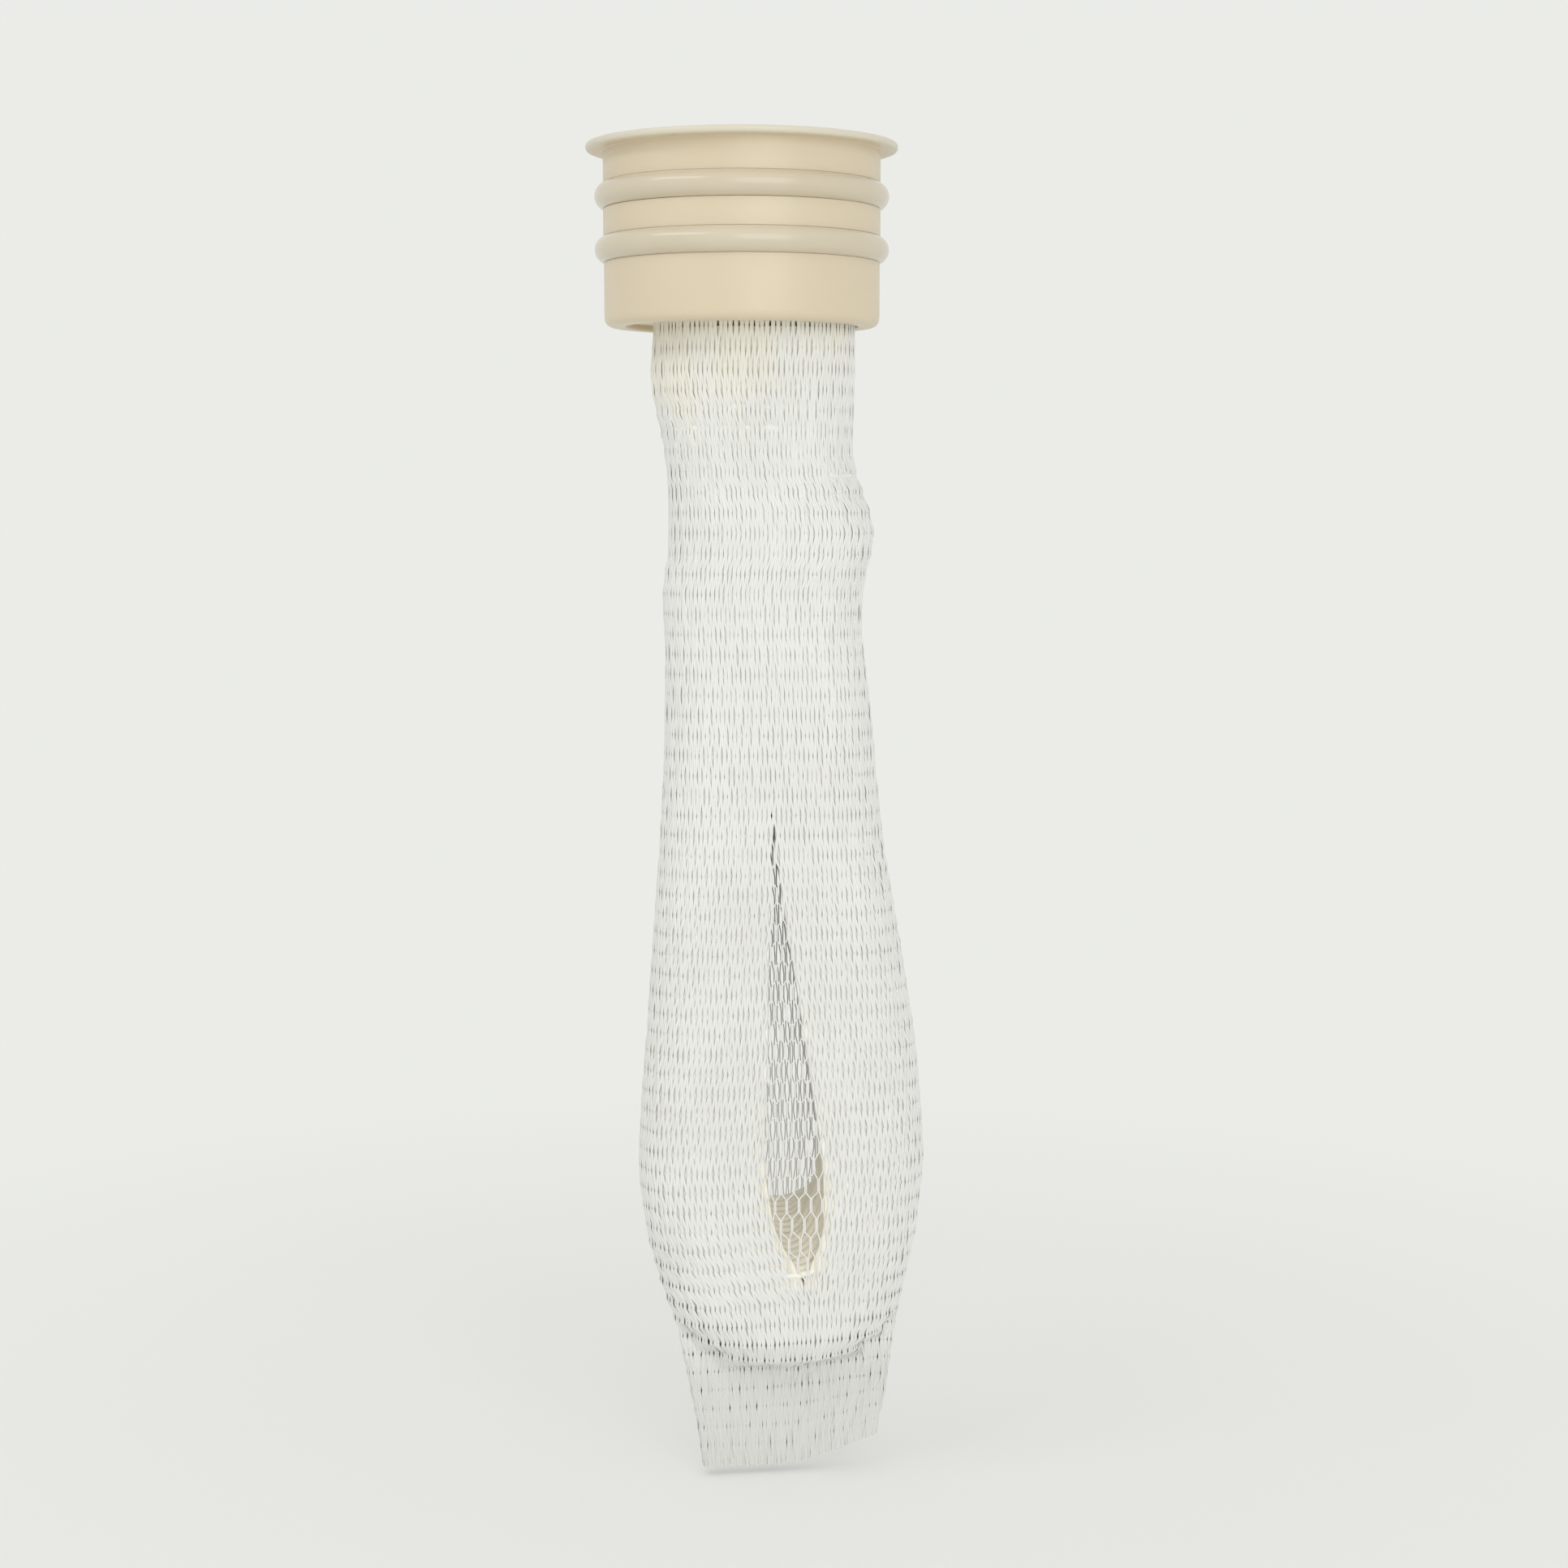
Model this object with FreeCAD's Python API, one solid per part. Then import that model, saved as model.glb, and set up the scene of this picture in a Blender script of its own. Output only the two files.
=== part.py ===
import FreeCAD, Part
import math
import os

# Hollow fibre membrane core: a flanged head with two O-rings, potted fibres in a hairpin loop, and a knitted sleeve.
# Millimetres. Z runs along the head's axis, up, with Z = 0 on the head's top face. The loop hangs below.

# head
flange_r = 27.0
flange_t = 1.2
flange_edge = 0.58
barrel_r = 24.0
land_r = 23.9
head_h = 31.2
lip_round = 2.8
bore_r = 18.4
mouth_r = 20.2
mouth_h = 7.0
key_depth = 1.2
key_h = 1.6

# O-rings and their grooves
ring_section = 5.3
ring_out_r = 25.5
groove_w = 5.6
ring_z = (-9.3, -17.8)
ring_slack = 0.02

# resin
resin_bottom = -30.2
bond_line = 0.01

# fibres
fibre_od = 1.08
fibre_id = 0.66
fibre_pitch = 1.36
row_count = 15
leg_fibre_r = 8.42

# where the fibres stand in the cut face
face_centre_x = 1.6
face_r = 15.4
face_gap = 0.8
face_stagger = 0.5

# the leg's stations: height, centre line's x, leg's offset from it, squeeze across the leg, turn of the pair
neck_z = -33.0
waist = dict(z=-58.0, x=3.1, leg=7.95, squeeze=0.88, turn=0.0)
fork = dict(z=-110.0, x=4.8, leg=9.3, squeeze=0.99, turn=5.0)
neck_bend = 25.0
waist_bend = 60.0
fork_bend = 150.0

# the hairpin's bottom
loop_x = 7.2
loop_turn = 12.0
loop_z = -197.3
loop_r = 13.2
loop_lean = 18.0
hip_length = 14.0
hip_bend = 55.0

# the sleeve: height, left side, right side, half depth, turn
sleeve_wall = 0.5
sleeve_sections = (
    (-26.0, -15.3, 19.6, 17.0, 0.0),
    (-31.2, -15.4, 19.6, 16.8, 0.0),
    (-40.0, -16.1, 19.8, 15.2, 0.0),
    (-56.0, -13.8, 20.0, 11.9, 0.0),
    (-67.0, -13.6, 23.1, 10.6, 1.0),
    (-79.0, -14.1, 21.8, 10.1, 2.0),
    (-100.0, -14.3, 23.6, 9.9, 4.0),
    (-125.0, -15.4, 26.4, 9.8, 7.0),
    (-150.0, -16.9, 29.7, 9.8, 9.5),
    (-172.0, -18.5, 32.3, 9.8, 11.0),
    (-184.0, -18.5, 32.5, 9.8, 12.0),
    (-196.0, -16.6, 31.2, 9.8, 12.0),
    (-208.0, -13.6, 28.8, 9.9, 12.0),
    (-214.0, -11.6, 27.4, 9.2, 12.0),
    (-220.0, -10.0, 26.4, 5.6, 12.0),
    (-227.0, -8.7, 25.5, 3.2, 10.0),
    (-233.8, -7.6, 24.7, 2.4, 8.0),
)
tail_cut_slope = 0.17
section_points = 24


def vec(x, y, z):
    return FreeCAD.Vector(x, y, z)


def save(name, shape):
    os.makedirs("parts", exist_ok=True)
    shape.exportStep("parts/" + name + ".step")


def spin(points):
    # a closed profile of (radius, height) turned about the Z axis
    wire = Part.makePolygon([vec(r, 0, z) for r, z in points + points[:1]])
    return Part.Face(wire).revolve(vec(0, 0, 0), vec(0, 0, 1), 360)


def ring_at(z):
    # one groove's cross-section
    groove_r = ring_out_r - ring_section - ring_slack
    half = groove_w / 2
    return spin([(groove_r, z - half), (barrel_r + 1, z - half), (barrel_r + 1, z + half), (groove_r, z + half)])


def key_at(z):
    # an inner groove that keys the resin
    half = key_h / 2
    return spin([(bore_r - 1, z - half), (bore_r, z - half), (bore_r + key_depth, z), (bore_r, z + half),
                 (bore_r - 1, z + half)])


def bore_solid(bottom):
    # what the resin fills: the bore, its keys and the wider mouth at the bottom
    shoulder = -head_h + mouth_h
    inside = spin([(0, 0), (bore_r, 0), (bore_r, shoulder), (mouth_r, shoulder - 1.2), (mouth_r, bottom), (0, bottom)])
    land_middle = (ring_z[0] + ring_z[1]) / 2
    for z in (-4.2, land_middle):
        inside = inside.fuse(key_at(z))
    return inside.removeSplitter()


def circles_of(body, radius, lowest, highest):
    # the round edges of one radius within a span of heights
    found = []
    for e in body.Edges:
        span = e.BoundBox
        flat = span.ZLength < 0.001
        if flat and abs(getattr(e.Curve, "Radius", 0) - radius) < 0.001:
            if lowest - 0.001 < span.ZMin and span.ZMax < highest + 0.001:
                found.append(e)
    return found


def head_shell():
    outline = [(0, 0), (flange_r, 0), (flange_r, -flange_t), (barrel_r, -flange_t), (barrel_r, ring_z[1]),
               (land_r, ring_z[1]), (land_r, -head_h), (0, -head_h)]
    body = spin(outline)
    body = body.makeFillet(flange_edge, circles_of(body, flange_r, -flange_t, 0))
    body = body.makeFillet(lip_round, circles_of(body, land_r, -head_h, -head_h))
    for z in ring_z:
        body = body.cut(ring_at(z))
    return body.cut(bore_solid(-head_h - 1))


def o_ring(z):
    radius = ring_out_r - ring_section / 2
    return Part.makeTorus(radius, ring_section / 2, vec(0, 0, z))


def leg_point(station, side, s, v):
    # a place in one leg: s outwards across the leg, v towards the back
    turn = math.radians(station["turn"])
    u = side * (station["leg"] + s * station["squeeze"])
    x = station["x"] + u * math.cos(turn) - v * math.sin(turn)
    y = u * math.sin(turn) + v * math.cos(turn)
    return vec(x, y, station["z"])


def loop_point(u, v, z):
    turn = math.radians(loop_turn)
    return vec(loop_x + u * math.cos(turn) - v * math.sin(turn), u * math.sin(turn) + v * math.cos(turn), z)


def row_places(row):
    # the fibres of one row across a leg, on a triangular grid
    v = (row - (row_count - 1) / 2) * fibre_pitch * math.sqrt(3) / 2
    half = math.sqrt(leg_fibre_r**2 - v**2)
    shift = 0.5 * (row % 2)
    first = math.ceil(-half / fibre_pitch - shift)
    last = math.floor(half / fibre_pitch - shift)
    return v, [(i + shift) * fibre_pitch for i in range(first, last + 1)]


def face_place(side, s, v, index):
    # a fibre's place in the cut face of the head
    deep = v * (face_r - 0.6) / leg_fibre_r
    chord = math.sqrt(face_r**2 - deep**2)
    half = math.sqrt(leg_fibre_r**2 - v**2)
    share = (s / half + 1) / 2
    across = face_gap + (chord - face_gap) * share
    stagger = face_stagger if index % 2 else -face_stagger
    return face_centre_x + side * across, deep + stagger


def hip_and_toe(side, s, v):
    # the leg's widest corner and the loop's bottom corner
    lean = math.radians(loop_lean)
    r = loop_r + s
    low = (r * math.cos(lean), loop_z - r * math.sin(lean))
    middle = (loop_r * math.cos(lean), loop_z - loop_r * math.sin(lean))
    hip_z = middle[1] + hip_length * math.cos(lean) - s * 0.1
    hip_u = low[0] + (hip_z - low[1]) * math.tan(lean)
    toe_u = r * math.tan(math.radians(45) - lean / 2)
    return loop_point(side * hip_u, v, hip_z), loop_point(side * toe_u, v, loop_z - r)


def half_route(side, s, v, index):
    x, y = face_place(side, s, v, index)
    hip, toe = hip_and_toe(side, s, v)
    points = [vec(x, y, 0), vec(x, y, neck_z), leg_point(waist, side, s, v), leg_point(fork, side, s, v), hip, toe]
    return points, [None, neck_bend, waist_bend, fork_bend, hip_bend + s, loop_r + s]


def rounded(points, radii):
    # straight runs joined by tangent arcs
    edges = []
    at = points[0]
    for before, corner, after, radius in zip(points, points[1:], points[2:], radii[1:]):
        back = (before - corner).normalize()
        on = (after - corner).normalize()
        turn = math.pi - back.getAngle(on)
        reach = radius * math.tan(turn / 2)
        start = corner + back * reach
        end = corner + on * reach
        inward = (back + on).normalize()
        middle = corner + inward * (radius / math.cos(turn / 2) - radius)
        if (start - at).Length > 1e-4:
            edges.append(Part.LineSegment(at, start).toShape())
        edges.append(Part.Arc(start, middle, end).toShape())
        at = end
    edges.append(Part.LineSegment(at, points[-1]).toShape())
    return Part.Wire(edges)


def fibre_route(s, v, index):
    left, radii = half_route(-1, s, v, index)
    right, _ = half_route(1, s, v, index)
    return rounded(left + right[::-1], radii + radii[::-1])


def fibre(s, v, index):
    route = fibre_route(s, v, index)
    start = route.Vertexes[0].Point
    outer = Part.Wire(Part.makeCircle(fibre_od / 2, start, vec(0, 0, 1)))
    inner = Part.Wire(Part.makeCircle(fibre_id / 2, start, vec(0, 0, 1)))
    wall = Part.makeFace([outer, inner], "Part::FaceMakerBullseye")
    return route.makePipe(wall)


def sleeve_section(z, left, right, depth, turn, slope, inset):
    # a closed curve through points spaced evenly round two flats and two half rounds
    angle = math.radians(turn)
    centre = (left + right) / 2
    flat = ((right - left) / 2 - depth) / math.cos(angle)
    r = depth - inset
    round_end = math.pi * r
    girth = 4 * flat + 2 * round_end
    points = []
    for number in range(section_points):
        along = (girth * number / section_points + round_end / 2) % girth
        side = 1 if along < girth / 2 else -1
        along %= girth / 2
        if along < round_end:
            bend = along / r - math.pi / 2
            u, v = flat + r * math.cos(bend), r * math.sin(bend)
        else:
            u, v = flat - (along - round_end), r
        x = side * (u * math.cos(angle) - v * math.sin(angle))
        y = side * (u * math.sin(angle) + v * math.cos(angle))
        points.append(vec(centre + x, y, z + slope * x))
    curve = Part.BSplineCurve()
    curve.interpolate(points, PeriodicFlag=True)
    return Part.Wire([curve.toShape()])


def sleeve_wires(inset):
    wires = []
    for number, section in enumerate(sleeve_sections):
        last = number == len(sleeve_sections) - 1
        wires.append(sleeve_section(*section, tail_cut_slope if last else 0.0, inset))
    return wires


def net_sleeve():
    # two lofted skins closed by a flat rim at each end
    outer = sleeve_wires(0.0)
    inner = sleeve_wires(sleeve_wall)
    faces = Part.makeLoft(outer, False, False).Faces + Part.makeLoft(inner, False, False).Faces
    for end in (0, -1):
        faces.append(Part.makeFace([outer[end], inner[end]], "Part::FaceMakerBullseye"))
    shell = Part.makeShell(faces)
    shell.sewShape()
    return Part.makeSolid(shell)


def fibre_rows():
    # one group of fibres for each row across the leg, and where each row stands in the cut face
    rows = []
    feet = []
    for row in range(row_count):
        v, places = row_places(row)
        rows.append(Part.Compound([fibre(s, v, index) for index, s in enumerate(places)]))
        for side in (-1, 1):
            feet += [face_place(side, s, v, index) for index, s in enumerate(places)]
    return rows, feet


def potting_resin(feet, sleeve):
    # the cast block, with a hole for each fibre end and the sleeve's top edge set in it
    height = -resin_bottom + 1
    holes = [Part.makeCylinder(fibre_od / 2 + bond_line, height, vec(x, y, resin_bottom - 0.5)) for x, y in feet]
    return bore_solid(resin_bottom).cut(Part.Compound(holes)).cut(sleeve)


def build():
    sleeve = net_sleeve()
    rows, feet = fibre_rows()
    save("head_shell", head_shell())
    save("upper_o_ring", o_ring(ring_z[0]))
    save("lower_o_ring", o_ring(ring_z[1]))
    save("potting_resin", potting_resin(feet, sleeve))
    save("net_sleeve", sleeve)
    for number, row in enumerate(rows, 1):
        save("fibre_row_%02d" % number, row)


if __name__ == "__main__":
    build()
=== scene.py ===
import math

import bpy
import numpy as np
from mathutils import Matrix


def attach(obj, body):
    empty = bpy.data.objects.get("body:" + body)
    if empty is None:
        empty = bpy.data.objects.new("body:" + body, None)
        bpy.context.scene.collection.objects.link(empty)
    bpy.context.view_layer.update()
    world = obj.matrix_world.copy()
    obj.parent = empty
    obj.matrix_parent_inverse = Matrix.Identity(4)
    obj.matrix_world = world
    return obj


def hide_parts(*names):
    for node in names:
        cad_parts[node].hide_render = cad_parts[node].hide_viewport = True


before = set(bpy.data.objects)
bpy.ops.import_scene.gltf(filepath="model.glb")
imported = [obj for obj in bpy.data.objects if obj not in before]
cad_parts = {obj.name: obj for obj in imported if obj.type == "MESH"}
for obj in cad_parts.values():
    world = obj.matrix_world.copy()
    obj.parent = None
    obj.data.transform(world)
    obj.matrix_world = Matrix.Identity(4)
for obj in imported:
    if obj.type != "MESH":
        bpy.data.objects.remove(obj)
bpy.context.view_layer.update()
mm = 0.001

# Hollow fibre core: potted head with two O-rings, hairpin fibres, and a knitted net sleeve.
# Z = 0 is the head's top face and the loop hangs below it. Sizes in the dictionaries are in mm.


# Helpers for colours, materials and node trees. Lengths in the materials are in metres.

def toLinear(value):
    value /= 255
    return value / 12.92 if value <= 0.04045 else ((value + 0.055) / 1.055) ** 2.4


def colour(red, green, blue):
    return (toLinear(red), toLinear(green), toLinear(blue), 1.0)


def startMaterial(name, **finish):
    material = bpy.data.materials.new(name)
    material.use_nodes = True
    tree = material.node_tree
    tree.nodes.clear()
    output = tree.nodes.new("ShaderNodeOutputMaterial")
    shader = tree.nodes.new("ShaderNodeBsdfPrincipled")
    for socket, value in finish.items():
        shader.inputs[socket].default_value = value
    tree.links.new(shader.outputs[0], output.inputs[0])
    return material, tree, shader


def addNode(tree, kind, links=(), **settings):
    # settings are the node's own properties; links pair an input with a socket or with a plain value
    node = tree.nodes.new(kind)
    for key, value in settings.items():
        setattr(node, key, value)
    for key, source in links:
        if hasattr(source, "is_linked"):
            tree.links.new(source, node.inputs[key])
        else:
            node.inputs[key].default_value = source
    return node


def mathNode(tree, operation, *values):
    return addNode(tree, "ShaderNodeMath", enumerate(values), operation=operation).outputs[0]


def vectorNode(tree, operation, first, second=None, scale=None):
    links = [(0, first)]
    if second is not None:
        links.append((1, second))
    if scale is not None:
        links.append(("Scale", scale))
    node = addNode(tree, "ShaderNodeVectorMath", links, operation=operation)
    return node.outputs["Value" if operation == "LENGTH" else "Vector"]


def objectSpot(tree):
    return addNode(tree, "ShaderNodeTexCoord").outputs["Object"]


def objectAxes(tree):
    return addNode(tree, "ShaderNodeSeparateXYZ", [("Vector", objectSpot(tree))]).outputs


def reachFrom(tree, centre, stretch):
    # distance from a point, with each axis stretched
    away = vectorNode(tree, "SUBTRACT", objectSpot(tree), centre)
    return vectorNode(tree, "LENGTH", vectorNode(tree, "MULTIPLY", away, stretch))


def noiseAt(tree, scale, detail=2.0, stretch=(1, 1, 1)):
    mapping = addNode(tree, "ShaderNodeMapping", [("Vector", objectSpot(tree)), ("Scale", stretch)])
    noise = addNode(tree, "ShaderNodeTexNoise", [
        ("Vector", mapping.outputs[0]), ("Scale", scale), ("Detail", detail)])
    return noise.outputs["Fac"]


def twoTone(tree, factor, edge, dark, light):
    # one colour up to the edge, the other from as far below 1, and a blend between them
    node = tree.nodes.new("ShaderNodeValToRGB")
    for element, place, tone in zip(node.color_ramp.elements, (edge, 1 - edge), (dark, light)):
        element.position = place
        element.color = tone
    tree.links.new(factor, node.inputs[0])
    return node.outputs["Color"]


def ranged(tree, socket, fromMin, fromMax, toMin=0.0, toMax=1.0):
    node = addNode(tree, "ShaderNodeMapRange", [
        ("Value", socket), ("From Min", fromMin), ("From Max", fromMax), ("To Min", toMin), ("To Max", toMax),
    ], interpolation_type="SMOOTHSTEP")
    return node.outputs["Result"]


def mixed(tree, factor, first, second):
    return addNode(tree, "ShaderNodeMix", [(0, factor), (6, first), (7, second)], data_type="RGBA").outputs[2]


def roughen(tree, shader, noise, smoothest, roughest):
    tree.links.new(ranged(tree, noise, *noiseSpan, smoothest, roughest), shader.inputs["Roughness"])


def bumpFrom(tree, shader, height, distance, strength):
    bump = addNode(tree, "ShaderNodeBump", [
        ("Height", height), ("Distance", distance), ("Strength", strength)])
    tree.links.new(bump.outputs[0], shader.inputs["Normal"])


# nearly all of a noise lies between these two
noiseSpan = (0.3, 0.7)


def makeHeadPlastic():
    material, tree, shader = startMaterial("headPlastic", **{
        "Subsurface Weight": 0.12, "Subsurface Scale": 0.004, "Subsurface Radius": (1.0, 0.8, 0.5),
        "IOR": 1.5})
    cloud = noiseAt(tree, scale=38.0, detail=3.0, stretch=(1, 1, 0.35))
    tone = twoTone(tree, cloud, 0.25, colour(219, 204, 176), colour(223, 209, 183))
    # thin edges let light through and look paler
    rim = ranged(tree, reachFrom(tree, (0, 0, 0), (1, 1, 0)), 0.0252, 0.0268)
    tree.links.new(mixed(tree, rim, tone, colour(218, 211, 193)), shader.inputs["Base Color"])
    fine = noiseAt(tree, scale=900.0, detail=3.0)
    roughen(tree, shader, fine, 0.30, 0.42)
    uneven = mathNode(tree, "ADD", fine, mathNode(tree, "MULTIPLY", cloud, 2.5))
    bumpFrom(tree, shader, uneven, distance=0.00002, strength=0.5)
    return material


def makeRingSilicone():
    material, tree, shader = startMaterial("ringSilicone", **{
        "IOR": 1.42, "Roughness": 0.24, "Coat Weight": 0.35, "Coat Roughness": 0.12})
    cloud = noiseAt(tree, scale=60.0, detail=3.0)
    tone = twoTone(tree, cloud, 0.3, colour(210, 198, 174), colour(215, 204, 182))
    tree.links.new(tone, shader.inputs["Base Color"])
    return material


def makeResin():
    material, tree, shader = startMaterial("castResin", **{
        "Subsurface Weight": 0.3, "Subsurface Scale": 0.003, "Subsurface Radius": (1.0, 0.75, 0.4),
        "IOR": 1.52})
    cloud = noiseAt(tree, scale=90.0, detail=4.0)
    tone = twoTone(tree, cloud, 0.25, colour(219, 199, 151), colour(230, 215, 176))
    tree.links.new(tone, shader.inputs["Base Color"])
    # knife marks across the cut face
    cut = noiseAt(tree, scale=700.0, detail=3.0, stretch=(1, 0.06, 1))
    roughen(tree, shader, cut, 0.25, 0.5)
    bumpFrom(tree, shader, cut, distance=0.00003, strength=0.5)
    return material


def wickedTint(tree, clean, soaked, top, bottom):
    # resin drawn along the strands near the head: soaked above top, clean below bottom,
    # and the edge between them ragged and leaning
    ragged, lean = 0.006, -0.35
    axes = objectAxes(tree)
    noise = noiseAt(tree, scale=95.0, detail=3.0, stretch=(1, 1, 0.3))
    shifted = mathNode(tree, "ADD", axes["Z"], ranged(tree, noise, *noiseSpan, -ragged, ragged))
    height = mathNode(tree, "ADD", shifted, mathNode(tree, "MULTIPLY", axes["X"], lean))
    return mixed(tree, ranged(tree, height, bottom, top), clean, soaked)


def makeFibreWhite():
    material, tree, shader = startMaterial("fibreWhite", **{"Sheen Weight": 0.05, "IOR": 1.45})
    cloud = noiseAt(tree, scale=120.0, stretch=(1, 1, 0.12))
    clean = twoTone(tree, cloud, 0.3, colour(248, 246, 240), colour(252, 250, 245))
    wicked = wickedTint(tree, clean, colour(250, 246, 232), top=-0.036, bottom=-0.05)
    # painted warm inter-reflection: inside the bend, where light bounces between the fibres, they are tinted
    # creamier
    reach = reachFrom(tree, centre=(0.0088, 0, -0.187), stretch=(1, 0, 0.55))
    tone = mixed(tree, ranged(tree, reach, 0.0055, 0.010), colour(253, 248, 232), wicked)
    tree.links.new(tone, shader.inputs["Base Color"])
    fine = noiseAt(tree, scale=2500.0)
    roughen(tree, shader, fine, 0.45, 0.62)
    bumpFrom(tree, shader, fine, distance=0.00001, strength=0.4)
    return material


def makeNetYarn():
    material, tree, shader = startMaterial("netYarn", **{
        "Sheen Weight": 0.12, "Sheen Roughness": 0.5, "IOR": 1.5})
    cloud = noiseAt(tree, scale=70.0, detail=3.0)
    clean = twoTone(tree, cloud, 0.3, colour(234, 234, 230), colour(239, 239, 236))
    wicked = wickedTint(tree, clean, colour(241, 238, 226), top=-0.033, bottom=-0.047)
    # painted shade: the empty tail, thin and in the shade under the bend, is painted greyer
    tailEnd, tailStart = -0.220, -0.210
    above = ranged(tree, objectAxes(tree)["Z"], tailEnd, tailStart)
    tree.links.new(mixed(tree, above, colour(224, 224, 220), wicked), shader.inputs["Base Color"])
    filament = noiseAt(tree, scale=5000.0)
    roughen(tree, shader, filament, 0.3, 0.48)
    bumpFrom(tree, shader, filament, distance=0.00001, strength=0.5)
    return material


headPlastic = makeHeadPlastic()
ringSilicone = makeRingSilicone()
castResin = makeResin()
fibreWhite = makeFibreWhite()
netYarn = makeNetYarn()
print("materials made")


def meshObject(name, verts, edges, faces):
    mesh = bpy.data.meshes.new(name)
    mesh.from_pydata(verts, edges, faces)
    mesh.update()
    obj = bpy.data.objects.new(name, mesh)
    bpy.context.scene.collection.objects.link(obj)
    return obj


def startTree(name, inputs):
    tree = bpy.data.node_groups.new(name, "GeometryNodeTree")
    tree.interface.new_socket("Geometry", in_out="INPUT", socket_type="NodeSocketGeometry")
    for label, kind in inputs:
        tree.interface.new_socket(label, in_out="INPUT", socket_type="NodeSocket" + kind)
    tree.interface.new_socket("Geometry", in_out="OUTPUT", socket_type="NodeSocketGeometry")
    return tree, tree.nodes.new("NodeGroupInput").outputs


def endTree(tree, geometry, material, smooth=True):
    if smooth:
        geometry = addNode(tree, "GeometryNodeSetShadeSmooth", [("Geometry", geometry)]).outputs[0]
    real = addNode(tree, "GeometryNodeRealizeInstances", [("Geometry", geometry)])
    coat = addNode(tree, "GeometryNodeSetMaterial", [("Geometry", real.outputs[0]), ("Material", material)])
    out = tree.nodes.new("NodeGroupOutput")
    tree.links.new(coat.outputs[0], out.inputs[0])


def grow(obj, tree, values):
    # sets the tree's inputs by identifier, and turns the result into a plain mesh
    modifier = obj.modifiers.new(tree.name, "NODES")
    modifier.node_group = tree
    for item in tree.interface.items_tree:
        if item.in_out == "INPUT" and item.name in values:
            modifier[item.identifier] = values[item.name]
    depsgraph = bpy.context.evaluated_depsgraph_get()
    depsgraph.update()
    mesh = bpy.data.meshes.new_from_object(obj.evaluated_get(depsgraph), depsgraph=depsgraph)
    mesh.name = obj.name
    obj.modifiers.remove(modifier)
    obj.data = mesh
    return obj


def clearAway(obj, store):
    data = obj.data
    bpy.data.objects.remove(obj)
    store.remove(data)


def place(obj, slotName, *nodes):
    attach(obj, "root")
    if nodes:
        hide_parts(*nodes)


view = dict(lens=61.49, sensor=36.0, clip=10.0, x=7.3, y=-472.0, z=-58.96, pitch=6.3)
stageLook = dict(floorZ=-236.75, radius=6000.0, sides=96, near=100.0, far=420.0,
                 floor=(238, 239, 236), backdrop=(235, 236, 232))
lights = dict(
    around=0.73, aroundTint=(1.0, 1.0, 0.985, 1.0), aim=(5, 0, -110),
    key=dict(at=(-440, -300, 400), size=(480, 130), power=0.7),
    front=dict(at=(280, -850, 160), size=(700, 700), power=2.32),
)


def makeCamera():
    data = bpy.data.cameras.new("camera")
    data.lens = view["lens"]
    data.sensor_width = view["sensor"]
    data.clip_start = view["clip"] * mm
    camera = bpy.data.objects.new("camera", data)
    camera.location = (view["x"] * mm, view["y"] * mm, view["z"] * mm)
    camera.rotation_euler = (math.radians(90 - view["pitch"]), 0, 0)
    bpy.context.scene.collection.objects.link(camera)
    bpy.context.scene.camera = camera


def seenRay(tree):
    # 1 where the camera looks at it, straight or by way of a mirror or something clear
    path = addNode(tree, "ShaderNodeLightPath")
    both = mathNode(tree, "MAXIMUM", path.outputs["Is Camera Ray"], path.outputs["Is Glossy Ray"])
    return mathNode(tree, "MAXIMUM", both, path.outputs["Is Transmission Ray"])


def blended(tree, factor, first, second, outputKind):
    blend = addNode(tree, "ShaderNodeMixShader", [
        (0, factor), (1, first.outputs[0]), (2, second.outputs[0])])
    addNode(tree, outputKind, [(0, blend.outputs[0])])


def makeFloor():
    look = stageLook
    count, radius, z = look["sides"], look["radius"] * mm, look["floorZ"] * mm
    verts = [(0.0, 0.0, z)]
    for turn in range(count):
        angle = 2 * math.pi * turn / count
        verts.append((radius * math.cos(angle), radius * math.sin(angle), z))
    faces = [(0, 1 + k, 1 + (k + 1) % count) for k in range(count)]
    floor = meshObject("floor", verts, [], faces)
    material = bpy.data.materials.new("paleFloor")
    material.use_nodes = True
    tree = material.node_tree
    tree.nodes.clear()
    # far off, the floor turns into the plain backdrop
    reach = vectorNode(tree, "LENGTH", objectSpot(tree))
    fade = ranged(tree, reach, look["near"] * mm, look["far"] * mm)
    diffuse = addNode(tree, "ShaderNodeBsdfDiffuse", [("Color", colour(*look["floor"]))])
    plain = addNode(tree, "ShaderNodeEmission", [("Color", colour(*look["backdrop"]))])
    backdrop = mathNode(tree, "MULTIPLY", fade, seenRay(tree))
    blended(tree, backdrop, diffuse, plain, "ShaderNodeOutputMaterial")
    floor.data.materials.append(material)


def makeWorld():
    world = bpy.data.worlds.new("studio")
    bpy.context.scene.world = world
    world.use_nodes = True
    tree = world.node_tree
    tree.nodes.clear()
    around = addNode(tree, "ShaderNodeBackground", [
        ("Color", lights["aroundTint"]), ("Strength", lights["around"])])
    seen = addNode(tree, "ShaderNodeBackground", [
        ("Color", colour(*stageLook["backdrop"])), ("Strength", 1.0)])
    blended(tree, seenRay(tree), around, seen, "ShaderNodeOutputWorld")


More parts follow.
